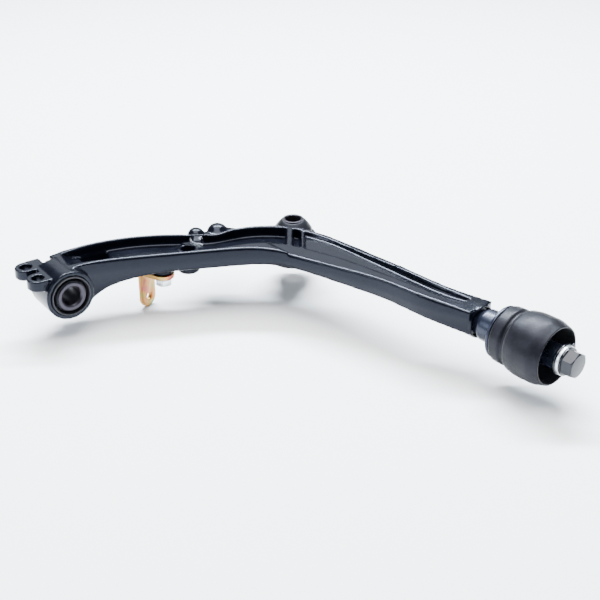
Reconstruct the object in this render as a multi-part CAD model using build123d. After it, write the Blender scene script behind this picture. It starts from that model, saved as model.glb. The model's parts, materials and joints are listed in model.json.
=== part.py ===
from build123d import *
import math
import os

# A forged suspension control arm. Millimetres, +Z up.
# The origin is the centre of the front pivot bush and +X runs along the pivot axis to the rear bush.

# arm forging: heights
arm_top = 18.0
parting_height = 8.0
web_top = 8.5
rear_web_top = 12.5
web_bottom = 4.0
ramp_r = 25.0
wall_slot_width = 12.0
wall_slot_height = 8.0
wall_slot_depth = 4.0
saddle_depth = 1.6
saddle_r = 40.0
deep_floor = -2.0
deep_end_d = 25.0
arm_floor_limit = -30.0
draft_side = 1.3

# arm forging: walls
rib_wall = 5.5
thin_rib_wall = 3.0
rib_spacing = 11.5
under_wall = 6.5

# arm forging: ring end
ring_distance = 221.5
ring_outer_d = 28.0
ring_bore_d = 25.0
ring_bore_depth = 5.0
ring_boss_length = 12.0
ring_taper_length = 38.0
ring_taper_r = 4.0
bolt_thread_d = 12.0
thread_depth = 22.0

# arm forging: outer eye and tab
eye_x = -60.8
eye_y = -208.8
eye_z = -3.0
eye_turn = -7.8
eye_outer_d = 43.0
eye_length = 33.5
tab_top = 14.5
tab_thickness = 9.0
tab_hole_d = 10.2
tab_hole_pitch = 24.4
tab_lobe_r = 9.4
tab_reach = 21.6
tab_hole_offset = -10.2
tab_root_y = -6.0
tab_root_length = 10.0
tab_notch_depth = 6.5

# arm forging: front bush boss, link boss and back lugs
front_boss_d = 42.0
front_boss_top = 2.0
front_boss_bottom = -24.0
gusset_top = 8.0
gusset_bottom = -16.0
gusset_length = 42.0
gusset_width = 22.0
gusset_overlap = 2.0
gusset_rounding = 8.0
link_hole_x = -28.2
link_hole_y = -99.3
link_hole_d = 12.4
link_boss_d = 20.0
link_boss_top = 10.0
link_boss_bottom = -12.0
link_boss_rounding = 2.5
lug_top = 17.5
lug_bottom = 2.0
large_lug_r = 10.0
small_lug_r = 8.0
lug_edge = 1.0
lug_root_drop = 6.0
lug_root_width = 24.0
lug_root_length = 46.0
lug_root_rounding = 9.0

# outer bush, in the eye
outer_shell_d = 35.0
outer_shell_wall = 1.2
outer_shell_proud = 1.5
outer_sleeve_d = 25.0
outer_sleeve_bore = 16.2
outer_sleeve_length = 37.5
outer_sleeve_chamfer = 1.6

# front bush, upright in its boss
front_shell_d = 35.0
front_shell_wall = 1.8
front_shell_length = 30.0
front_sleeve_d = 19.0
front_sleeve_bore = 14.2
front_sleeve_length = 42.0
front_sleeve_top = 17.0

# rear bush, along the pivot axis
neck_d = 27.0
neck_length = 23.0
neck_start_gap = 0.5
neck_cone_length = 4.5
rear_sleeve_d = 20.0
rear_sleeve_bore = 12.6
rear_sleeve_length = 76.5
disc_d = 44.0
disc_thickness = 3.0
belt_d = 47.0
barrel_d = 54.0
barrel_end = 72.5
mouth_d = 48.5
mouth_inner_d = 46.0
mouth_depth = 20.0
groove_d = 44.0
moulded_ring_d = 37.0
moulded_ring_wall = 2.0
moulded_ring_length = 20.0
moulded_ring_middle = 15.5
stop_washer_d = 25.0
stop_washer_thickness = 2.5
tongue_reach = 15.5
tongue_width = 4.0
tongue_angle = 28.0
zinc_washer_d = 24.0
zinc_washer_thickness = 2.6
rear_head_flats = 19.0
rear_head_height = 9.0
rear_flange_d = 23.0
rear_flange_height = 1.6

# bracket under the arm
bracket_thickness = 4.0
bracket_width = 19.0
bracket_drop = 37.5
bracket_reach = 21.0
bracket_hole_d = 7.0
bracket_bolt_x = -30.5
bracket_bolt_y = -125.5
bracket_turn = 17.0
bracket_bolt_d = 8.0
bracket_bolt_length = 20.0
bracket_head_flats = 13.0
bracket_head_height = 5.5
lock_washer_d = 14.0
lock_washer_thickness = 1.8
lock_washer_gap = 1.2
pad_d = 18.0
pad_bottom = -5.5

# fits
press_gap = 0.02
turn_gap = 0.05
clear_gap = 0.3

# Plan view of the arm's top edges: x, y and how wide the flat rim is there.
# They are drawn for these two ends, and are stretched when the ends are moved.
drawn_ring_distance = 221.5
drawn_eye_y = -208.8
bend_x = 20.0
limb_split_y = -52.0
front_edge = [
    (-50.8, -209.0, 7.5),
    (-49.8, -191.5, 5.2),
    (-38.2, -164.0, 4.4),
    (-12.0, -120.5, 4.4),
    (6.2, -91.0, 6.0),
    (27.5, -64.0, 13.5),
    (60.9, -48.2, 19.0),
    (108.0, -36.0, 15.5),
    (139.8, -30.2, 11.2),
    (179.0, -26.5, 11.0),
    (207.0, -18.5, 7.5),
    (219.5, -13.6, 6.0),
]
back_edge = [
    (-84.0, -205.0, 5.0),
    (-84.4, -182.4, 4.0),
    (-79.1, -156.0, 3.6),
    (-51.0, -105.4, 3.4),
    (-26.0, -73.0, 3.4),
    (-17.0, -48.0, 3.6),
    (4.4, -20.0, 4.4),
    (38.0, -2.5, 5.2),
    (86.0, 1.4, 5.6),
    (135.0, 0.8, 5.2),
    (180.2, 1.5, 5.4),
    (206.0, 7.5, 6.5),
    (219.5, 13.2, 6.0),
]
# Side view of the arm's underside: along Y for the outer limb and along X for the rear limb.
outer_limb_under = [
    (-216.0, -14.0),
    (-200.0, -24.0),
    (-188.0, -18.5),
    (-175.0, -9.8),
    (-160.0, -4.2),
    (-142.0, -0.8),
    (-106.0, 0.4),
    (-52.0, 3.3),
]
rear_limb_under = [(20.0, 3.3), (60.0, 3.0), (110.0, 0.8), (165.0, -0.6), (190.0, -3.4), (221.0, -8.0)]
rear_limb_top = [(20.0, arm_top), (150.0, arm_top), (190.0, 16.8), (221.0, 12.8)]


def moved_x(x):
    """Stretches the rear limb along X so that it ends at the ring."""
    stretch = (ring_distance - bend_x) / (drawn_ring_distance - bend_x)
    return bend_x + (x - bend_x) * stretch if x > bend_x else x


def moved_y(y):
    """Stretches the outer limb along Y so that it ends at the eye."""
    stretch = (eye_y - limb_split_y) / (drawn_eye_y - limb_split_y)
    return limb_split_y + (y - limb_split_y) * stretch if y < limb_split_y else y


front_edge = [(moved_x(x), moved_y(y), rim) for x, y, rim in front_edge]
back_edge = [(moved_x(x), moved_y(y), rim) for x, y, rim in back_edge]
outer_limb_under = [(moved_y(y), z) for y, z in outer_limb_under]
rear_limb_under = [(moved_x(x), z) for x, z in rear_limb_under]
rear_limb_top = [(moved_x(x), z) for x, z in rear_limb_top]


def sideways(points, distances):
    """Moves each point of a line to the left of its run by its own distance."""
    moved = []
    for index, point in enumerate(points):
        before = points[max(index - 1, 0)]
        after = points[min(index + 1, len(points) - 1)]
        run_x = after[0] - before[0]
        run_y = after[1] - before[1]
        run = math.hypot(run_x, run_y)
        shift = distances[index]
        moved.append((point[0] - run_y / run * shift, point[1] + run_x / run * shift))
    return moved


def plan_face(front, back, height):
    outline = [Spline(front), Line(front[-1], back[-1]), Spline(back[::-1]), Line(back[0], front[0])]
    return Pos(0, 0, height) * make_face(outline)


def outline_at(height):
    grow = draft_side * (1 - abs(height - parting_height) / (arm_top - parting_height))
    front = sideways(front_edge, [-grow] * len(front_edge))
    back = sideways(back_edge, [grow] * len(back_edge))
    return plan_face(front, back, height)


def rim_face(extra, height, first, last):
    """The plan inside the rims, from one pair of edge points to another."""
    front = sideways(front_edge, [p[2] + extra for p in front_edge])
    back = sideways(back_edge, [-p[2] - extra for p in back_edge])
    return plan_face(front[first[0]:last[0]], back[first[1]:last[1]], height)


def upright(face, low, high):
    return Pos(0, 0, low) * extrude(face, high - low)


def cylinder_along_x(diameter, start, end):
    return Pos((start + end) / 2, 0, 0) * Rot(0, 90, 0) * Cylinder(diameter / 2, end - start)


def tube_along_x(outer_d, inner_d, start, end):
    return cylinder_along_x(outer_d, start, end) - cylinder_along_x(inner_d, start - 1, end + 1)


def upright_cylinder(diameter, low, high, x=0.0, y=0.0):
    return Pos(x, y, (low + high) / 2) * Cylinder(diameter / 2, high - low)


def eye_place(part):
    return Pos(eye_x, eye_y, eye_z) * Rot(0, 0, eye_turn) * part


def height_envelope():
    """Everything between the arm's curved underside and its top."""
    reach = 260.0
    low_y = outer_limb_under[0][0]
    high_y = outer_limb_under[-1][0]
    outer_side = [
        Spline(outer_limb_under),
        Line(outer_limb_under[-1], (high_y, arm_top)),
        Line((high_y, arm_top), (low_y, arm_top)),
        Line((low_y, arm_top), outer_limb_under[0]),
    ]
    outer_limb = Rot(0, 90, 0) * Rot(0, 0, 90) * extrude(make_face(outer_side), reach, both=True)
    rear_side = [
        Line((-60, rear_limb_under[0][1]), rear_limb_under[0]),
        Spline(rear_limb_under),
        Line(rear_limb_under[-1], rear_limb_top[-1]),
        Spline(rear_limb_top[::-1]),
        Line(rear_limb_top[0], (-60, arm_top)),
        Line((-60, arm_top), (-60, rear_limb_under[0][1])),
    ]
    rear_limb = Rot(90, 0, 0) * extrude(make_face(rear_side), reach, both=True)
    rear_half = Pos(0, limb_split_y + reach / 2, 0) * Box(3 * reach, reach, reach)
    outer_half = Pos(0, limb_split_y - reach / 2, 0) * Box(3 * reach, reach, reach)
    return (outer_limb & outer_half) + (rear_limb & rear_half)


def arm_blank():
    upper = loft([outline_at(parting_height), outline_at(arm_top)])
    lower = loft([outline_at(arm_floor_limit), outline_at(parting_height)])
    return (upper + lower) & height_envelope()


def arm_tab():
    """The two-hole tab beyond the eye, in the eye's own directions."""
    low = tab_top - tab_thickness - eye_z
    high = tab_top - eye_z
    middle = (low + high) / 2
    width = tab_hole_pitch + 2 * tab_lobe_r - 5.0
    root = Pos(tab_hole_offset, tab_root_y - tab_root_length / 2, middle)
    tab = root * Box(width, tab_root_length, tab_thickness)
    length = tab_reach - tab_notch_depth + tab_root_y
    tab = tab + Pos(tab_hole_offset, tab_root_y - length / 2, middle) * Box(
        tab_hole_pitch, length, tab_thickness
    )
    holes = []
    for side in (-1, 1):
        hole_x = tab_hole_offset + side * tab_hole_pitch / 2
        neck = tab_reach + tab_root_y
        tab = tab + upright_cylinder(2 * tab_lobe_r, low, high, hole_x, -tab_reach)
        tab = tab + Pos(hole_x, tab_root_y - neck / 2, middle) * Box(2 * tab_lobe_r, neck, tab_thickness)
        holes.append(upright_cylinder(tab_hole_d, low - 1, high + 1, hole_x, -tab_reach))
    return eye_place(tab), [eye_place(hole) for hole in holes]


def domed_cylinder(radius, low, high, x, y, rounding):
    cylinder = upright_cylinder(2 * radius, low, high, x, y)
    top_edge = cylinder.edges().filter_by(GeomType.CIRCLE).sort_by(Axis.Z)[-1]
    return fillet(top_edge, rounding)


def back_lugs():
    """Two low rounded lugs on the back of the outer limb."""
    small = domed_cylinder(small_lug_r, lug_bottom, lug_top, -43.6, -78.0, small_lug_r - lug_edge)
    large = domed_cylinder(large_lug_r, lug_bottom, lug_top, -37.5, -58.3, large_lug_r - lug_edge)
    root_height = lug_top - lug_bottom - lug_root_drop
    root = Box(lug_root_width, lug_root_length, root_height)
    root = fillet(root.edges().filter_by(Axis.Z), lug_root_rounding)
    root = Pos(-29.0, -66.0, lug_bottom + root_height / 2) * Rot(0, 0, -15) * root
    return small + large + root


def eye_end_ramp():
    """What the channel leaves uncut at the eye, so that its floor rises there in a hollow curve."""
    reach = 80.0
    place = Pos(-72.0, moved_y(-178.0), web_top + ramp_r) * Rot(0, 0, -17)
    block = Pos(0, -reach / 2, 0) * Box(reach, reach, 2 * ramp_r + 2)
    return place * (block - Rot(0, 90, 0) * Cylinder(ramp_r, 2 * reach))


def arm_pockets():
    """The channels in the top, less the ribs between them, and the shallow recesses beneath."""
    above = arm_top + 5.0
    reach = 300.0
    channel = upright(rim_face(0.0, 0.0, (0, 0), (11, 12)), web_top, above)
    rib_place = Pos(20.9, -23.5, 0) * Rot(0, 0, 46.9)
    rib = rib_place * Box(rib_wall, 90.0, 90.0)
    thin_rib = rib_place * Pos(rib_spacing, 0, 0) * Box(thin_rib_wall, 90.0, 90.0)
    rear_floor = rib_place * Pos(rib_spacing + reach / 2, 0, rear_web_top - reach / 2) * Box(
        reach, reach, reach
    )
    deep_end = upright(rim_face(1.0, 0.0, (1, 1), (4, 4)), deep_floor, above)
    deep_end = deep_end & upright_cylinder(deep_end_d, deep_floor, above, -73.0, moved_y(-167.5))
    under_outer = upright(rim_face(under_wall, 0.0, (3, 3), (6, 6)), arm_floor_limit - 5, web_bottom)
    under_rear = upright(rim_face(2.0, 0.0, (7, 8), (10, 11)), arm_floor_limit - 5, web_bottom)
    return channel - rib - thin_rib - rear_floor - eye_end_ramp(), deep_end, under_outer, under_rear


def wall_slot():
    """A shallow slot with round ends in the inner side of the back wall."""
    straight = wall_slot_width - wall_slot_height
    slot = Box(straight, 4 * wall_slot_depth, wall_slot_height)
    for side in (-1, 1):
        end = Rot(90, 0, 0) * Cylinder(wall_slot_height / 2, 4 * wall_slot_depth)
        slot = slot + Pos(side * straight / 2, 0, 0) * end
    return Pos(-35.0, -84.0, web_top + wall_slot_height / 2) * Rot(0, 0, 46.9) * slot


def wall_saddle():
    """The dip in the top of the back wall."""
    height = arm_top - saddle_depth + saddle_r
    return Pos(-24.0, -70.0, height) * Rot(0, 0, -10) * Rot(0, 90, 0) * Cylinder(saddle_r, 24.0)


def boss_gusset():
    """Joins the front bush boss to the arm behind the bend."""
    height = gusset_top - gusset_bottom
    middle = (gusset_top + gusset_bottom) / 2
    web = Box(gusset_length, gusset_width, height)
    web = fillet(web.edges().filter_by(Axis.Z), gusset_rounding)
    web = Pos(9.0, -15.0, middle) * Rot(0, 0, 40) * web
    return web - upright_cylinder(front_boss_d - 2 * gusset_overlap, front_boss_bottom, gusset_top + 1)


def link_boss():
    boss = upright_cylinder(link_boss_d, link_boss_bottom, link_boss_top, link_hole_x, link_hole_y)
    low_edge = boss.edges().filter_by(GeomType.CIRCLE).sort_by(Axis.Z)[0]
    return fillet(low_edge, link_boss_rounding)


def ring_boss():
    """The ring at the end of the rear limb, tapering into the limb."""
    boss_start = ring_distance - ring_boss_length
    taper_start = boss_start - ring_taper_length
    profile = [
        (taper_start, 0),
        (taper_start, ring_taper_r),
        (boss_start, ring_outer_d / 2),
        (ring_distance, ring_outer_d / 2),
        (ring_distance, 0),
    ]
    return turned_about_x(profile)


def bracket_place(part):
    return Pos(bracket_bolt_x, bracket_bolt_y, pad_bottom) * Rot(0, 0, bracket_turn) * part


def arm_forging():
    tab, tab_holes = arm_tab()
    channel, deep_end, under_outer, under_rear = arm_pockets()
    body = arm_blank()
    body = body - channel
    body = body - deep_end
    body = body - under_outer
    body = body - under_rear
    body = body - wall_slot() - wall_saddle()
    body = body + eye_place(cylinder_along_x(eye_outer_d, -eye_length / 2, eye_length / 2))
    body = body + tab
    body = body + (back_lugs() - upright(rim_face(-3.0, 0.0, (1, 1), (8, 8)), web_bottom, arm_top))
    body = body + upright_cylinder(front_boss_d, front_boss_bottom, front_boss_top)
    body = body + boss_gusset()
    body = body + link_boss()
    body = body + upright_cylinder(pad_d, pad_bottom, web_top, bracket_bolt_x, bracket_bolt_y)
    body = body + ring_boss()
    body = body - eye_place(cylinder_along_x(outer_shell_d + 2 * press_gap, -eye_length, eye_length))
    body = body - upright_cylinder(front_shell_d + 2 * press_gap, front_boss_bottom - 1, front_boss_top + 1)
    thread_start = ring_distance - ring_bore_depth - thread_depth
    body = body - cylinder_along_x(ring_bore_d, ring_distance - ring_bore_depth, ring_distance + 1)
    body = body - cylinder_along_x(bolt_thread_d, thread_start, ring_distance)
    body = body - upright_cylinder(link_hole_d, link_boss_bottom - 1, link_boss_top + 1, link_hole_x, link_hole_y)
    thread_top = pad_bottom + bracket_bolt_length - bracket_thickness - lock_washer_thickness
    body = body - bracket_place(upright_cylinder(bracket_bolt_d, -1, thread_top - pad_bottom))
    for hole in tab_holes:
        body = body - hole
    return body


def outer_bush_shell():
    half = eye_length / 2 + outer_shell_proud
    return eye_place(tube_along_x(outer_shell_d, outer_shell_d - 2 * outer_shell_wall, -half, half))


def turned_about_x(profile):
    """Turns a profile of (distance along X, radius) points about the X axis."""
    return revolve(make_face(Polyline(profile + [profile[0]])), Axis.X, 360)


def outer_bush_rubber():
    """Rubber between shell and sleeve, hollowed at both faces so that a cone stands round the sleeve."""
    shell_r = outer_shell_d / 2 - outer_shell_wall - press_gap
    sleeve_r = outer_sleeve_d / 2 + turn_gap
    half = eye_length / 2
    profile = [
        (-half - 1.0, sleeve_r),
        (-half - 0.5, sleeve_r + 1.2),
        (-half + 5.0, sleeve_r + 2.6),
        (-half + 6.5, shell_r - 1.6),
        (-half - 0.2, shell_r - 0.6),
        (-half - 0.2, shell_r),
        (half + 0.2, shell_r),
        (half + 0.2, shell_r - 0.6),
        (half - 6.5, shell_r - 1.6),
        (half - 5.0, sleeve_r + 2.6),
        (half + 0.5, sleeve_r + 1.2),
        (half + 1.0, sleeve_r),
    ]
    return eye_place(turned_about_x(profile))


def outer_bush_sleeve():
    half = outer_sleeve_length / 2
    sleeve = tube_along_x(outer_sleeve_d, outer_sleeve_bore, -half, half)
    edges = sleeve.edges().filter_by(GeomType.CIRCLE)
    inner = edges.filter_by(lambda e: abs(e.radius - outer_sleeve_bore / 2) < 0.01)
    return eye_place(chamfer(inner, outer_sleeve_chamfer))


def front_bush_shell():
    low = front_boss_bottom
    high = low + front_shell_length
    return upright_cylinder(front_shell_d, low, high) - upright_cylinder(
        front_shell_d - 2 * front_shell_wall, low - 1, high + 1
    )


def turned_upright(profile):
    """Turns a profile of (radius, height) points about the Z axis."""
    return Rot(0, -90, 0) * turned_about_x([(height, radius) for radius, height in profile])


def front_bush_rubber():
    """Rubber with a cone at each end that closes round the sleeve."""
    shell_r = front_shell_d / 2 - front_shell_wall - press_gap
    lip_r = front_shell_d / 2
    sleeve_r = front_sleeve_d / 2 + press_gap
    top = front_sleeve_top
    shell_top = front_boss_bottom + front_shell_length
    profile = [
        (sleeve_r, front_boss_bottom + 2.0),
        (shell_r - 3.0, front_boss_bottom + 3.0),
        (shell_r, front_boss_bottom + 1.0),
        (shell_r, shell_top + 0.1),
        (lip_r, shell_top + 0.1),
        (lip_r - 0.5, shell_top + 2.0),
        (sleeve_r + 3.5, top - 3.6),
        (sleeve_r + 1.0, top - 1.4),
        (sleeve_r, top - 1.2),
    ]
    return turned_upright(profile)


def front_bush_sleeve():
    low = front_sleeve_top - front_sleeve_length
    outside = upright_cylinder(front_sleeve_d, low, front_sleeve_top)
    return outside - upright_cylinder(front_sleeve_bore, low - 1, front_sleeve_top + 1)


def along_rear_bush(part):
    """Places a part whose X starts at the seat in the arm's end ring."""
    return Pos(ring_distance - ring_bore_depth, 0, 0) * part


def rear_bush_sleeve():
    """Steel sleeve that seats in the arm's ring, with a coned collar up to the back disc."""
    end = ring_bore_depth + rear_sleeve_length
    collar_start = ring_bore_depth + neck_start_gap
    collar_end = ring_bore_depth + neck_length - disc_thickness
    profile = [
        (0, rear_sleeve_bore / 2),
        (0, rear_sleeve_d / 2),
        (collar_start, rear_sleeve_d / 2),
        (collar_start + neck_cone_length, neck_d / 2),
        (collar_end, neck_d / 2),
        (collar_end, rear_sleeve_d / 2),
        (end, rear_sleeve_d / 2),
        (end, rear_sleeve_bore / 2),
    ]
    return along_rear_bush(turned_about_x(profile))


def rear_back_disc():
    start = ring_bore_depth + neck_length - disc_thickness
    disc = tube_along_x(disc_d, rear_sleeve_d + 2 * press_gap, start, start + disc_thickness)
    rim = disc.edges().filter_by(GeomType.CIRCLE).filter_by(lambda e: abs(e.radius - disc_d / 2) < 0.01)
    return along_rear_bush(fillet(rim, disc_thickness * 0.4))


def rear_bush_rubber():
    """The barrel: belt, groove, swelling and open mouth, with the cavity for the moulded ring."""
    start = ring_bore_depth + neck_length + clear_gap
    end = ring_bore_depth + barrel_end
    bore_r = rear_sleeve_d / 2 + turn_gap
    outside = [
        (start, belt_d / 2 - 2.0),
        (start + 2.0, belt_d / 2),
        (start + 10.0, belt_d / 2 + 0.6),
        (start + 12.0, groove_d / 2),
        (start + 14.5, groove_d / 2),
        (start + 17.0, barrel_d / 2 - 1.2),
        (start + 24.0, barrel_d / 2),
        (end - 9.0, barrel_d / 2),
        (end - 3.0, barrel_d / 2 - 1.6),
        (end, mouth_d / 2),
    ]
    inside = [
        (end, mouth_inner_d / 2),
        (end - mouth_depth, mouth_inner_d / 2 - 3.5),
        (end - mouth_depth - 3.0, bore_r + 3.0),
        (end - mouth_depth + 4.0, bore_r + 1.5),
        (end - mouth_depth + 4.0, bore_r),
        (start, bore_r),
    ]
    barrel = turned_about_x(outside + inside)
    return along_rear_bush(barrel - rear_ring_shape(press_gap))


def rear_ring_shape(extra):
    middle = ring_bore_depth + neck_length + clear_gap + moulded_ring_middle
    half = moulded_ring_length / 2 + extra
    outer_d = moulded_ring_d + 2 * extra
    return tube_along_x(outer_d, outer_d - 2 * moulded_ring_wall - 4 * extra, middle - half, middle + half)


def rear_bush_ring():
    return along_rear_bush(rear_ring_shape(0.0))


def rear_stop_washer():
    """A washer with a small tongue on its edge."""
    start = ring_bore_depth + rear_sleeve_length
    end = start + stop_washer_thickness
    root = rear_sleeve_bore / 2 + 2.0
    tongue = Pos((start + end) / 2, (root + tongue_reach) / 2, 0) * Box(
        stop_washer_thickness, tongue_reach - root, tongue_width
    )
    washer = tube_along_x(stop_washer_d, rear_sleeve_bore, start, end)
    return along_rear_bush(washer + Rot(tongue_angle, 0, 0) * tongue)


def rear_washer():
    start = ring_bore_depth + rear_sleeve_length + stop_washer_thickness
    return along_rear_bush(
        tube_along_x(zinc_washer_d, rear_sleeve_bore, start, start + zinc_washer_thickness)
    )


def hexagon_prism(flats, height):
    """A hexagon head standing on Z = 0, with its corners turned off at the top."""
    corner_r = flats / math.sqrt(3)
    head = extrude(RegularPolygon(corner_r, 6), height)
    cone = Pos(0, 0, height / 2) * Cylinder(corner_r, height)
    top_edge = cone.edges().filter_by(GeomType.CIRCLE).sort_by(Axis.Z)[-1]
    return head & chamfer(top_edge, height * 0.12, height * 0.22)


def rear_bolt():
    seat = ring_bore_depth + rear_sleeve_length + stop_washer_thickness + zinc_washer_thickness
    flange = cylinder_along_x(rear_flange_d, seat, seat + rear_flange_height)
    head = Pos(seat + rear_flange_height, 0, 0) * Rot(0, 90, 0) * hexagon_prism(
        rear_head_flats, rear_head_height
    )
    shank = cylinder_along_x(bolt_thread_d, -thread_depth + 3.0, seat)
    tip = shank.edges().filter_by(GeomType.CIRCLE).sort_by(Axis.X)[0]
    return along_rear_bush(chamfer(tip, 1.2) + flange + head)


def link_bracket():
    """A strip bolted flat under the arm and bent down into a tab with a round end."""
    width = bracket_width
    thick = bracket_thickness
    foot = Pos(-bracket_reach / 2, 0, -thick / 2) * Box(bracket_reach, width, thick)
    foot = foot + upright_cylinder(width, -thick, 0)
    straight = bracket_drop - width / 2
    tab_x = -bracket_reach + thick / 2
    tab = Pos(tab_x, 0, -straight / 2) * Box(thick, width, straight)
    tab = tab + Pos(tab_x, 0, -straight) * Rot(0, 90, 0) * Cylinder(width / 2, thick)
    bracket = foot + tab
    outer_bend = bracket.edges().filter_by(Axis.Y).group_by(Axis.X)[0].sort_by(Axis.Z)[-1]
    bracket = fillet(outer_bend, thick)
    hole = Pos(tab_x, 0, -straight) * Rot(0, 90, 0) * Cylinder(bracket_hole_d / 2, 2 * thick)
    bracket = bracket - hole - upright_cylinder(bracket_bolt_d + 2 * clear_gap, -thick - 1, 1)
    return bracket_place(bracket)


def bracket_lock_washer():
    high = -bracket_thickness
    low = high - lock_washer_thickness
    ring = upright_cylinder(lock_washer_d, low, high) - upright_cylinder(
        bracket_bolt_d + 2 * clear_gap, low - 1, high + 1
    )
    split = Pos(lock_washer_d / 2, 0, (low + high) / 2) * Rot(20, 0, 0) * Box(
        lock_washer_d, lock_washer_gap, 4 * lock_washer_thickness
    )
    return bracket_place(ring - split)


def bracket_bolt():
    seat = -bracket_thickness - lock_washer_thickness
    head = Pos(0, 0, seat) * Rot(180, 0, 0) * hexagon_prism(bracket_head_flats, bracket_head_height)
    shank = upright_cylinder(bracket_bolt_d - 2 * press_gap, seat, seat + bracket_bolt_length - 1.5)
    return bracket_place(head + shank)


def save(part, name):
    export_step(part, f"parts/{name}.step")
    print(name, len(part.solids()))


pieces = {
    "arm_forging": arm_forging,
    "outer_bush_shell": outer_bush_shell,
    "outer_bush_rubber": outer_bush_rubber,
    "outer_bush_sleeve": outer_bush_sleeve,
    "front_bush_shell": front_bush_shell,
    "front_bush_rubber": front_bush_rubber,
    "front_bush_sleeve": front_bush_sleeve,
    "rear_bush_sleeve": rear_bush_sleeve,
    "rear_back_disc": rear_back_disc,
    "rear_bush_rubber": rear_bush_rubber,
    "rear_bush_ring": rear_bush_ring,
    "rear_stop_washer": rear_stop_washer,
    "rear_washer": rear_washer,
    "rear_bolt": rear_bolt,
    "link_bracket": link_bracket,
    "bracket_lock_washer": bracket_lock_washer,
    "bracket_bolt": bracket_bolt,
}
os.makedirs("parts", exist_ok=True)
for name, make in pieces.items():
    save(make(), name)
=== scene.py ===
import json
import math
import bmesh
import bpy
from mathutils import Matrix, Vector


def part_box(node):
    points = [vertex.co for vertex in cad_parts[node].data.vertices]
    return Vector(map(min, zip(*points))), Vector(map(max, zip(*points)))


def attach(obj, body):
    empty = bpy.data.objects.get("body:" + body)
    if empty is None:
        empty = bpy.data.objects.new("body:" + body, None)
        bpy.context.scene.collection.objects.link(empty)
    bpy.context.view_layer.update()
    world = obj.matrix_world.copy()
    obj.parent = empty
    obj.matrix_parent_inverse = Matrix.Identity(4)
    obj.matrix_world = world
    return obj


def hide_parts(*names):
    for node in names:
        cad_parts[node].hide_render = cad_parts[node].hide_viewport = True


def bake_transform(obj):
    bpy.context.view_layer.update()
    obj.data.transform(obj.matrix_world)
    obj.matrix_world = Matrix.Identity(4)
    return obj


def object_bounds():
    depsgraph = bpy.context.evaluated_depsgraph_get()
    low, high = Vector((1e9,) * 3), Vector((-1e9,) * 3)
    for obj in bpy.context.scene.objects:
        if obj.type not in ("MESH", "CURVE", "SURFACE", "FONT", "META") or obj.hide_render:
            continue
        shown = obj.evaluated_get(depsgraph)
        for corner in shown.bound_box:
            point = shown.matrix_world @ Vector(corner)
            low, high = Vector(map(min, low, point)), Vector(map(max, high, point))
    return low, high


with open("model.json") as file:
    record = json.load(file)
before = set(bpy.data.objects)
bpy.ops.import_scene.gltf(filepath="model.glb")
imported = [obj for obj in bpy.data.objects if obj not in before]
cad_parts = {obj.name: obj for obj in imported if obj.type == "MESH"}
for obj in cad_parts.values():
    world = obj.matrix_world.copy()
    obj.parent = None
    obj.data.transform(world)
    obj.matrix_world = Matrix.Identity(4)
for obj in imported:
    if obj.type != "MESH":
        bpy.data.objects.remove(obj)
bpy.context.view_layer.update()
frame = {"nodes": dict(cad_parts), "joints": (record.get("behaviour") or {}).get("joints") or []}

nodes = frame["nodes"]
mm = 0.001


def addPiece(name, mesh, body, stands, material):
    piece = bpy.data.objects.new(name, mesh)
    bpy.context.scene.collection.objects.link(piece)
    mesh.materials.clear()
    mesh.materials.append(material)
    if body:  # a piece that spans two bodies rides on neither
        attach(piece, body)
    if stands:
        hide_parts(*stands)
    return piece


softening = {"weld": 2e-6, "flat": 0.8, "turnsAt": 28, "sharpAt": 40}  # metres, then degrees


def weldedCopy(nodeName, meshName):  # the node's own shape, joined up so that it can be bevelled
    mesh = nodes[nodeName].data.copy()
    mesh.name = meshName
    work = bmesh.new()
    work.from_mesh(mesh)
    bmesh.ops.remove_doubles(work, verts=work.verts, dist=softening["weld"])
    flat = math.radians(softening["flat"])
    bmesh.ops.dissolve_limit(work, angle_limit=flat, verts=work.verts, edges=work.edges)
    work.to_mesh(mesh)
    work.free()
    return mesh


def settle(piece):  # turns the modifiers into plain mesh
    bpy.context.view_layer.update()
    evaluated = piece.evaluated_get(bpy.context.evaluated_depsgraph_get())
    mesh = bpy.data.meshes.new_from_object(evaluated)
    mesh.name = piece.data.name
    piece.modifiers.clear()
    piece.data = mesh
    return piece


def shadeSmooth(piece, angle):
    for face in piece.data.polygons:
        face.use_smooth = True
    piece.data.set_sharp_from_angle(angle=math.radians(angle))


def softEdged(nodeName, name, body, material, width, turns=2):  # the node with rounded edges
    piece = addPiece(name, weldedCopy(nodeName, name), body, [nodeName], material)
    bevel = piece.modifiers.new("soften", "BEVEL")
    bevel.width = width
    bevel.segments = turns
    bevel.limit_method = "ANGLE"
    bevel.angle_limit = math.radians(softening["turnsAt"])
    bevel.harden_normals = False
    settle(piece)
    shadeSmooth(piece, softening["sharpAt"])
    return piece


turning = {"around": 112, "cornerSteps": 5, "leastCorner": 0.01, "share": 0.48, "sharpAt": 50}


def roundedOutline(points):  # points are (along, radius, corner) in millimetres, and each corner turns softly
    outline = []
    count = len(points)
    for index in range(count):
        here = Vector(points[index][:2])
        before = Vector(points[index - 1][:2])
        after = Vector(points[(index + 1) % count][:2])
        corner = points[index][2]
        inward = before - here
        onward = after - here
        reach = min(corner, inward.length * turning["share"], onward.length * turning["share"])
        if reach < turning["leastCorner"]:
            outline.append(here)
            continue
        first = here + inward.normalized() * reach
        last = here + onward.normalized() * reach
        for step in range(turning["cornerSteps"] + 1):
            t = step / turning["cornerSteps"]
            outline.append(first * (1 - t) ** 2 + here * 2 * t * (1 - t) + last * t ** 2)
    return outline


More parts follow.
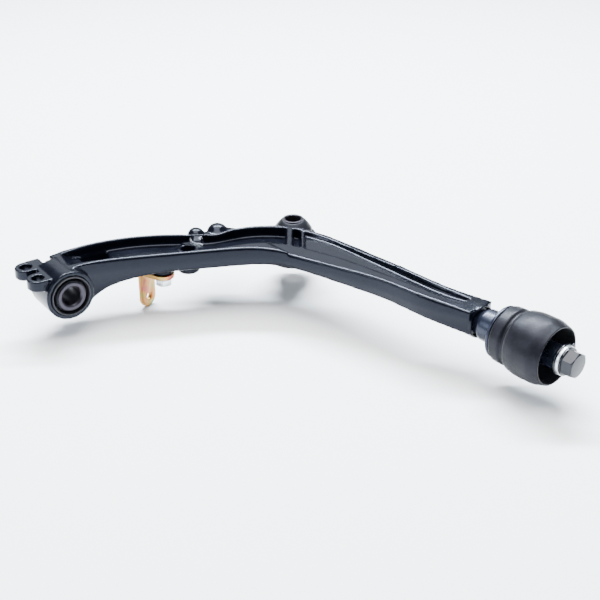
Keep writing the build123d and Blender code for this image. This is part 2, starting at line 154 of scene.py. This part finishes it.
def turned(name, points, place, body, stands, material):  # a closed outline turned about X
    outline = roundedOutline(points)
    around = turning["around"]
    work = bmesh.new()
    rings = []
    for point in outline:
        ring = []
        for step in range(around):
            angle = 2 * math.pi * step / around
            spot = Vector((point.x, point.y * math.cos(angle), point.y * math.sin(angle))) * mm
            ring.append(work.verts.new(place @ spot))
        rings.append(ring)
    for index in range(len(rings)):
        ring, following = rings[index], rings[(index + 1) % len(rings)]
        for step in range(around):
            onward = (step + 1) % around
            work.faces.new((ring[step], ring[onward], following[onward], following[step]))
    bmesh.ops.recalc_face_normals(work, faces=work.faces)
    mesh = bpy.data.meshes.new(name)
    work.to_mesh(mesh)
    work.free()
    piece = addPiece(name, mesh, body, stands, material)
    shadeSmooth(piece, turning["sharpAt"])
    return piece


def startMaterial(name, color, roughness, metallic=0.0):
    material = bpy.data.materials.new(name)
    material.use_nodes = True
    material.diffuse_color = (*color, 1.0)
    shader = material.node_tree.nodes["Principled BSDF"]
    shader.inputs["Base Color"].default_value = (*color, 1.0)
    shader.inputs["Roughness"].default_value = roughness
    shader.inputs["Metallic"].default_value = metallic
    return material, shader, material.node_tree


def addNoise(tree, scale, detail=4.0, rough=0.55):
    spot = tree.nodes.get("where") or tree.nodes.new("ShaderNodeTexCoord")
    spot.name = "where"
    texture = tree.nodes.new("ShaderNodeTexNoise")
    texture.inputs["Scale"].default_value = scale
    texture.inputs["Detail"].default_value = detail
    texture.inputs["Roughness"].default_value = rough
    tree.links.new(spot.outputs["Object"], texture.inputs["Vector"])
    return texture


def addRamp(tree, source, stops):
    ramp = tree.nodes.new("ShaderNodeValToRGB")
    while len(ramp.color_ramp.elements) < len(stops):
        ramp.color_ramp.elements.new(0.5)
    for element, (position, color) in zip(ramp.color_ramp.elements, stops):
        element.position = position
        element.color = (*color, 1.0)
    tree.links.new(source, ramp.inputs["Fac"])
    return ramp.outputs["Color"]


def varyRoughness(tree, shader, source, low, high):
    spread = tree.nodes.new("ShaderNodeMapRange")
    spread.inputs["To Min"].default_value = low
    spread.inputs["To Max"].default_value = high
    tree.links.new(source, spread.inputs["Value"])
    tree.links.new(spread.outputs["Result"], shader.inputs["Roughness"])


def addBump(tree, shader, source, strength, distance, under=None):
    bump = tree.nodes.new("ShaderNodeBump")
    bump.inputs["Strength"].default_value = strength
    bump.inputs["Distance"].default_value = distance
    tree.links.new(source, bump.inputs["Height"])
    if under:
        tree.links.new(under, bump.inputs["Normal"])
    tree.links.new(bump.outputs["Normal"], shader.inputs["Normal"])
    return bump.outputs["Normal"]


blackPaint = {
    "color": (0.0015, 0.002, 0.004), "roughness": 0.2, "spread": (0.16, 0.3),
    "tones": [(0.3, (0.0008, 0.0010, 0.0022)), (0.7, (0.0022, 0.0026, 0.0055))],
    "coat": 0.1, "coatRoughness": 0.07, "specular": 0.15, "tint": (0.62, 0.72, 1.0, 1.0),
    "cloud": 60.0, "cloudBump": (0.22, 0.0006), "grain": 420.0, "grainBump": (0.3, 0.00012),
}


def makeBlackPaint():
    look = blackPaint
    material, shader, tree = startMaterial("blackPaint", look["color"], look["roughness"])
    shader.inputs["Coat Weight"].default_value = look["coat"]
    shader.inputs["Coat Roughness"].default_value = look["coatRoughness"]
    shader.inputs["Specular IOR Level"].default_value = look["specular"]
    shader.inputs["Specular Tint"].default_value = look["tint"]
    cloud = addNoise(tree, look["cloud"], 3.0)
    fine = addNoise(tree, look["grain"], 3.0, 0.6)
    varyRoughness(tree, shader, cloud.outputs["Fac"], *look["spread"])
    color = addRamp(tree, cloud.outputs["Fac"], look["tones"])
    tree.links.new(color, shader.inputs["Base Color"])
    lower = addBump(tree, shader, cloud.outputs["Fac"], *look["cloudBump"])
    addBump(tree, shader, fine.outputs["Fac"], *look["grainBump"], lower)
    return material


rubber = {
    "color": (0.0015, 0.0015, 0.0026), "dust": (0.0070, 0.0068, 0.0105),
    "roughness": 0.5, "spread": (0.30, 0.52),
    "specular": 0.16, "tint": (0.80, 0.84, 1.0, 1.0), "sheen": 0.03, "sheenRoughness": 0.5,
    "cloud": 75.0, "cloudBump": (0.5, 0.0009), "grain": 900.0, "grainBump": (0.25, 0.00008),
}


def makeRubber():
    look = rubber
    material, shader, tree = startMaterial("mouldedRubber", look["color"], look["roughness"])
    shader.inputs["Specular IOR Level"].default_value = look["specular"]
    shader.inputs["Specular Tint"].default_value = look["tint"]
    shader.inputs["Sheen Weight"].default_value = look["sheen"]
    shader.inputs["Sheen Roughness"].default_value = look["sheenRoughness"]
    cloud = addNoise(tree, look["cloud"], 5.0, 0.6)
    fine = addNoise(tree, look["grain"], 3.0)
    color = addRamp(tree, cloud.outputs["Fac"], [(0.35, look["color"]), (0.72, look["dust"])])
    tree.links.new(color, shader.inputs["Base Color"])
    varyRoughness(tree, shader, cloud.outputs["Fac"], *look["spread"])
    lower = addBump(tree, shader, cloud.outputs["Fac"], *look["cloudBump"])
    addBump(tree, shader, fine.outputs["Fac"], *look["grainBump"], lower)
    return material


steels = {  # colour, range of roughness, metallic
    "darkShellSteel": ((0.020, 0.020, 0.025), (0.3, 0.45), 0.6),
    "sleeveSteel": ((0.036, 0.033, 0.043), (0.26, 0.4), 0.85),
    "phosphatedSteel": ((0.014, 0.018, 0.034), (0.22, 0.36), 0.6),
    "brightZinc": ((0.78, 0.83, 0.88), (0.22, 0.36), 1.0),
    "blackBoltSteel": ((0.004, 0.006, 0.012), (0.14, 0.26), 0.35),
}
steelGrain = {"cloud": 130.0, "grain": 500.0, "shade": 0.78, "bump": (0.2, 0.00005)}


def makeSteel(name):
    color, spread, metallic = steels[name]
    material, shader, tree = startMaterial(name, color, sum(spread) / 2, metallic)
    cloud = addNoise(tree, steelGrain["cloud"], 4.0)
    fine = addNoise(tree, steelGrain["grain"], 2.0)
    varyRoughness(tree, shader, cloud.outputs["Fac"], *spread)
    dark = tuple(part * steelGrain["shade"] for part in color)
    tone = addRamp(tree, cloud.outputs["Fac"], [(0.3, dark), (0.65, color)])
    tree.links.new(tone, shader.inputs["Base Color"])
    addBump(tree, shader, fine.outputs["Fac"], *steelGrain["bump"])
    return material


goldPlate = {
    "color": (0.66, 0.45, 0.18), "roughness": 0.3, "spread": (0.24, 0.4), "metallic": 0.85,
    "tones": [(0.30, (0.15, 0.25, 0.10)), (0.43, (0.40, 0.27, 0.07)), (0.55, (0.50, 0.21, 0.06)),
              (0.68, (0.42, 0.11, 0.09)), (0.80, (0.28, 0.25, 0.12))],
    "cloud": 85.0, "grain": 700.0, "bump": (0.18, 0.00005),
}


def makeGoldPlate():
    look = goldPlate
    material, shader, tree = startMaterial("yellowZinc", look["color"], look["roughness"], look["metallic"])
    cloud = addNoise(tree, look["cloud"], 2.5, 0.5)
    fine = addNoise(tree, look["grain"], 2.0)
    tone = addRamp(tree, cloud.outputs["Fac"], look["tones"])
    tree.links.new(tone, shader.inputs["Base Color"])
    varyRoughness(tree, shader, fine.outputs["Fac"], *look["spread"])
    addBump(tree, shader, fine.outputs["Fac"], *look["bump"])
    return material


paintMaterial = makeBlackPaint()
rubberMaterial = makeRubber()
shellSteel = makeSteel("darkShellSteel")
sleeveSteel = makeSteel("sleeveSteel")
neckSteel = makeSteel("phosphatedSteel")
zincSteel = makeSteel("brightZinc")
blackSteel = makeSteel("blackBoltSteel")
yellowZinc = makeGoldPlate()
print("materials ready")


def jointNamed(name):
    return next(joint for joint in frame["joints"] if joint["name"] == name)


def alongAxis(origin, axis):  # a place whose X runs along axis
    turn = Vector((1, 0, 0)).rotation_difference(Vector(axis))
    return Matrix.Translation(Vector(origin)) @ turn.to_matrix().to_4x4()


eyePlace = alongAxis(jointNamed("outer_bush_twist")["pos_m"], jointNamed("outer_bush_twist")["axis"])
frontPlace = alongAxis((0, 0, 0), (0, 0, 1))
rearPlace = alongAxis((0, 0, 0), (1, 0, 0))


def spanX(nodeName):
    low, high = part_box(nodeName)
    return low.x / mm, high.x / mm


forging = {
    "voxel": 0.8 * mm, "keep": 0.4,
    "smoothing": 0.5, "turns": 4, "softTurns": 26, "lugTurns": 45,
    "crisp": [  # centre, radius that stays crisp, width of the change: eye and tab, ring, link hole, boss
        ((-0.066, -0.214), 0.029, 0.012), ((0.2215, 0.0), 0.016, 0.018),
        ((-0.0282, -0.0993), 0.008, 0.004), ((0.0, 0.0), 0.022, 0.006),
    ],
    "lugCentre": (-0.040, -0.067), "lugStretch": 0.62, "lugR": 0.013, "lugFade": 0.006,
}


def between(share):
    return max(0.0, min(1.0, share))


def awayFromFeatures(spot):  # 1 on the open limbs, 0 at the eye, tab, ring, boss and holes
    weight = 1.0
    for centre, inside, fade in forging["crisp"]:
        away = (Vector((spot.x, spot.y)) - Vector(centre)).length
        weight = min(weight, between((away - inside) / fade))
    return weight


def nearLugs(spot):  # 1 on the two lugs, 0 everywhere else
    x, y = forging["lugCentre"]
    away = Vector((spot.x - x, (spot.y - y) * forging["lugStretch"])).length
    return between(1.0 - (away - forging["lugR"]) / forging["lugFade"])


def addSmoothing(piece, name, turns, weightOf=None):
    smoothing = piece.modifiers.new(name, "SMOOTH")
    smoothing.factor = forging["smoothing"]
    smoothing.iterations = turns
    if weightOf:
        group = piece.vertex_groups.new(name=name)
        for vertex in piece.data.vertices:
            group.add([vertex.index], weightOf(vertex.co), "REPLACE")
        smoothing.vertex_group = name


def makeForging():
    mesh = nodes["arm_forging"].data.copy()
    mesh.name = "armBody"
    piece = addPiece("armBody", mesh, "arm", ["arm_forging"], paintMaterial)
    remesh = piece.modifiers.new("oneSkin", "REMESH")
    remesh.mode = "VOXEL"
    remesh.voxel_size = forging["voxel"]
    settle(piece)
    addSmoothing(piece, "even", forging["turns"])
    addSmoothing(piece, "soften", forging["softTurns"], awayFromFeatures)
    addSmoothing(piece, "meltLugs", forging["lugTurns"], nearLugs)
    thin = piece.modifiers.new("thin", "DECIMATE")
    thin.ratio = forging["keep"]
    settle(piece)
    piece.vertex_groups.clear()
    for face in piece.data.polygons:
        face.use_smooth = True
    print("forging:", len(piece.data.polygons), "faces")


makeForging()


outerBush = {
    "shellHalf": 18.0, "shellR": 17.5, "shellWall": 1.2,
    "rubberHalf": 16.6, "rubberCrown": 0.9, "groove": 6.5, "slope": 4.6, "grip": 0.05,
    "sleeveHalf": 18.75, "sleeveR": 12.5, "boreR": 8.1, "chamfer": 1.6,
}


def makeOuterBush():
    bush = outerBush
    half, outside = bush["shellHalf"], bush["shellR"]
    inside = outside - bush["shellWall"]
    turned("outerShell", [
        (-half, inside, 0.3), (-half, outside, 0.5), (half, outside, 0.5), (half, inside, 0.3),
    ], eyePlace, "arm", ["outer_bush_shell"], shellSteel)
    core = bush["sleeveR"] + bush["grip"]
    half, crown = bush["rubberHalf"], bush["rubberCrown"]
    turned("outerRubber", [
        (-half - crown, core, 0.2), (-half - crown + 0.3, core + 1.0, 0.6),
        (-half + bush["slope"], core + 2.0, 1.2), (-half + bush["groove"], inside - 1.1, 1.4),
        (-half, inside - 0.5, 0.4), (-half, inside - 0.02, 0.0),
        (half, inside - 0.02, 0.0), (half, inside - 0.5, 0.4),
        (half - bush["groove"], inside - 1.1, 1.4), (half - bush["slope"], core + 2.0, 1.2),
        (half + crown - 0.3, core + 1.0, 0.6), (half + crown, core, 0.2),
    ], eyePlace, "arm", ["outer_bush_rubber"], rubberMaterial)
    half, outside, chamfer = bush["sleeveHalf"], bush["sleeveR"], bush["chamfer"]
    bore = bush["boreR"]
    turned("outerSleeve", [
        (-half, bore + chamfer, 0.25), (-half, outside, 0.6),
        (half, outside, 0.6), (half, bore + chamfer, 0.25),
        (half - chamfer, bore, 0.3), (-half + chamfer, bore, 0.3),
    ], eyePlace, "outer_pivot", ["outer_bush_sleeve"], sleeveSteel)


makeOuterBush()
print("outer bush ready")


frontBush = {
    "shellWall": 1.8, "boreR": 7.1, "boreFlare": 0.4, "boreFlareDepth": 0.6, "grip": 0.02,
    "coneBottom": -5.0, "coneBend": (0.8, 5.0),  # the bend starts above the shell and ends below the crown
    "lowTop": -9.0, "lowBend": (-12.0, -18.5),
}


def makeFrontBush():
    bush = frontBush
    low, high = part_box("front_bush_shell")
    bottom, top, outside = low.z / mm, high.z / mm, high.x / mm
    inside = outside - bush["shellWall"]
    turned("frontShell", [
        (bottom, inside, 0.3), (bottom, outside, 0.5), (top, outside, 0.5), (top, inside, 0.3),
    ], frontPlace, "arm", ["front_bush_shell"], shellSteel)

    low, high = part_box("front_bush_sleeve")
    foot, crown, sleeveR = low.z / mm, high.z / mm, high.x / mm
    core = sleeveR + bush["grip"]
    wall = inside - bush["grip"]
    coneBottom = bush["coneBottom"]
    cone = turned("frontRubber", [
        (coneBottom, inside - 2.2, 0.8), (coneBottom, wall, 0.3),
        (top + 0.1, wall, 0.1), (top + 0.1, outside, 0.3), (top + 2.0, outside - 0.5, 1.5),
        (crown - 3.6, core + 3.5, 3.0), (crown - 1.4, core + 1.0, 0.9), (crown - 1.2, core, 0.1),
        (crown - 4.6, core, 0.2), (crown - 5.4, core + 1.6, 1.0), (top + 0.5, inside - 3.0, 2.0),
    ], frontPlace, None, ["front_bush_rubber"], rubberMaterial)
    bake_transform(cone)

    lowTop = bush["lowTop"]
    lowCone = turned("frontRubberLow", [
        (lowTop, wall, 0.2), (lowTop - 3.5, wall, 0.4), (lowTop - 6.5, inside - 1.8, 1.5),
        (foot + 3.2, core + 1.6, 1.2), (foot + 1.6, core + 0.9, 0.5), (foot + 1.6, core, 0.2),
        (foot + 5.4, core, 0.2), (lowTop - 5.5, core + 2.4, 1.5), (lowTop - 1.5, core + 4.4, 0.8),
    ], frontPlace, None, [], rubberMaterial)
    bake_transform(lowCone)

    bore, flare, depth = bush["boreR"], bush["boreFlare"], bush["boreFlareDepth"]
    turned("frontSleeve", [
        (foot, bore + flare, 0.2), (foot, sleeveR, 0.5), (crown, sleeveR, 0.5), (crown, bore + flare, 0.2),
        (crown - depth, bore, 0.2), (foot + depth, bore, 0.2),
    ], frontPlace, "front_pivot", ["front_bush_sleeve"], sleeveSteel)


makeFrontBush()
print("front bush ready")


rearNeck = {"boreR": 6.3, "seatR": 10.0, "collarStart": 5.5, "collarRise": 4.5, "discHoleR": 10.02}
rearBarrel = {
    "coreR": 10.05, "widestFrom": 25.0, "widestTo": 9.0,
    "belts": [  # along from the end at the arm, radius, corner
        (0.0, 21.6, 0.8), (1.6, 23.3, 1.6), (10.2, 23.9, 1.2),
        (12.2, 22.3, 1.4), (14.2, 22.4, 1.4), (16.4, 25.4, 1.8),
    ],
    "mouth": [  # back from the open end, radius, corner
        (2.2, 24.9, 2.0), (0.0, 24.3, 0.6), (0.0, 23.0, 0.5),
        (20.0, 19.6, 5.0), (22.8, 13.2, 2.0), (16.5, 11.5, 1.0),
    ],
}
rearFixings = {"washerHoleR": 6.4, "edge": 0.35 * mm}


def makeRearNeck():
    start, end = spanX("rear_bush_sleeve")
    discStart, discEnd = spanX("rear_back_disc")
    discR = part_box("rear_back_disc")[1].z / mm
    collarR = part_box("rear_bush_sleeve")[1].z / mm
    collar = start + rearNeck["collarStart"]
    shoulder = collar + rearNeck["collarRise"]
    bore, seat, hole = rearNeck["boreR"], rearNeck["seatR"], rearNeck["discHoleR"]
    turned("rearNeck", [
        (start, bore, 0.3), (start, seat, 0.5), (collar, seat, 0.6), (shoulder, collarR, 2.0),
        (discStart, collarR, 0.3), (discStart, seat, 0.1), (end, seat, 0.5), (end, bore, 0.3),
    ], rearPlace, "arm", ["rear_bush_sleeve"], neckSteel)
    turned("rearDisc", [
        (discStart, hole, 0.1), (discStart, discR, 1.3), (discEnd, discR, 1.0), (discEnd, hole, 0.1),
    ], rearPlace, "arm", ["rear_back_disc"], neckSteel)


def makeRearBarrel():
    first, last = spanX("rear_bush_rubber")
    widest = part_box("rear_bush_rubber")[1].z / mm
    core = rearBarrel["coreR"]
    deepest = rearBarrel["mouth"][-1][0]
    outline = [(first, core, 0.1)]
    outline += [(first + along, radius, corner) for along, radius, corner in rearBarrel["belts"]]
    outline += [(first + rearBarrel["widestFrom"], widest, 3.0), (last - rearBarrel["widestTo"], widest, 5.0)]
    outline += [(last - back, radius, corner) for back, radius, corner in rearBarrel["mouth"]]
    outline += [(last - deepest, core, 0.1)]
    turned("rearRubber", outline, rearPlace, "rear_pivot", ["rear_bush_rubber"], rubberMaterial)


def makeRearFixings():
    edge, hole = rearFixings["edge"], rearFixings["washerHoleR"]
    softEdged("rear_stop_washer", "rearStop", "arm", blackSteel, edge)
    start, end = spanX("rear_washer")
    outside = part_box("rear_washer")[1].z / mm
    turned("rearWasher", [
        (start, hole, 0.2), (start, outside, 0.5), (end, outside, 0.6), (end, hole, 0.2),
    ], rearPlace, "arm", ["rear_washer"], zincSteel)
    softEdged("rear_bolt", "rearBolt", "arm", blackSteel, edge)


makeRearNeck()
makeRearBarrel()
makeRearFixings()
nodes["rear_bush_ring"].data.materials.clear()
nodes["rear_bush_ring"].data.materials.append(shellSteel)
print("rear bush ready")


bracketEdges = {"plate": 0.55 * mm, "plateTurns": 3, "bolt": 0.3 * mm, "lockWasher": 0.2 * mm}

softEdged("link_bracket", "linkBracket", "arm", yellowZinc,
          bracketEdges["plate"], bracketEdges["plateTurns"])
softEdged("bracket_bolt", "bracketBolt", "arm", zincSteel, bracketEdges["bolt"])
softEdged("bracket_lock_washer", "lockWasher", "arm", zincSteel, bracketEdges["lockWasher"])
print("bracket ready")


studio = {
    "floorDrop": 0.5 * mm, "floorReach": 6.0, "floorColor": (0.93, 0.94, 0.95), "floorRoughness": 0.75,
    "floorSpecular": 0.2, "world": (0.62, 0.68, 0.78), "worldPower": 0.3,
    "away": (-0.73016, 0.68327, 0.0),  # level, straight away from the camera
    "side": (0.68327, 0.73016, 0.0),  # level, to the camera's right
    "middle": (0.06, -0.09, 0.0), "cool": (0.86, 0.93, 1.0), "plain": (1.0, 0.995, 0.985),
    "lamps": [  # name, metres away, to the right and up, width, height, watts, colour
        ("backBox", 1.5, 0.0, 0.84, 2.2, 0.5, 6.5, "cool"),
        ("highBox", 0.9, 0.0, 1.35, 1.5, 0.22, 150, "cool"),
        ("topBox", 0.0, -0.1, 1.7, 1.5, 1.5, 92, "plain"),
        ("leftBox", -0.5, -1.4, 0.7, 0.4, 0.8, 12, "cool"),
        ("rightBox", -0.3, 1.5, 0.75, 0.4, 0.8, 16, "cool"),
    ],
}


def makeFloor():
    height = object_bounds()[0][2] - studio["floorDrop"]
    work = bmesh.new()
    bmesh.ops.create_grid(work, x_segments=1, y_segments=1, size=studio["floorReach"])
    mesh = bpy.data.meshes.new("floor")
    work.to_mesh(mesh)
    work.free()
    floor = bpy.data.objects.new("floor", mesh)
    floor.location = (0, 0, height)
    bpy.context.scene.collection.objects.link(floor)
    material, shader, _ = startMaterial("paleFloor", studio["floorColor"], studio["floorRoughness"])
    shader.inputs["Specular IOR Level"].default_value = studio["floorSpecular"]
    mesh.materials.append(material)


def softBox(name, position, target, width, height, power, color):
    light = bpy.data.lights.new(name, "AREA")
    light.shape = "RECTANGLE"
    light.size = width
    light.size_y = height
    light.energy = power
    light.color = color
    lamp = bpy.data.objects.new(name, light)
    lamp.location = position
    lamp.rotation_euler = (Vector(target) - Vector(position)).to_track_quat("-Z", "Y").to_euler()
    bpy.context.scene.collection.objects.link(lamp)


cameraView = {
    "position": (0.7299, -0.6743, 0.4700), "toward": (-0.64225, 0.60100, -0.47570),
    "lens": 72.0, "sensor": 36.0, "nearest": 0.02,
}


def makeCamera():
    camera = bpy.data.cameras.new("camera")
    camera.lens = cameraView["lens"]
    camera.sensor_width = cameraView["sensor"]
    camera.clip_start = cameraView["nearest"]
    holder = bpy.data.objects.new("camera", camera)
    holder.location = cameraView["position"]
    holder.rotation_euler = Vector(cameraView["toward"]).to_track_quat("-Z", "Y").to_euler()
    bpy.context.scene.collection.objects.link(holder)
    bpy.context.scene.camera = holder


def makeLights():
    away, side, middle = (Vector(studio[key]) for key in ("away", "side", "middle"))
    for name, back, right, up, width, height, power, color in studio["lamps"]:
        position = middle + away * back + side * right + Vector((0, 0, up))
        softBox(name, position, middle, width, height, power, studio[color])
    world = bpy.data.worlds.new("studio")
    world.use_nodes = True
    backdrop = world.node_tree.nodes["Background"]
    backdrop.inputs["Color"].default_value = (*studio["world"], 1.0)
    backdrop.inputs["Strength"].default_value = studio["worldPower"]
    bpy.context.scene.world = world


makeFloor()
makeLights()
makeCamera()
print("studio ready")
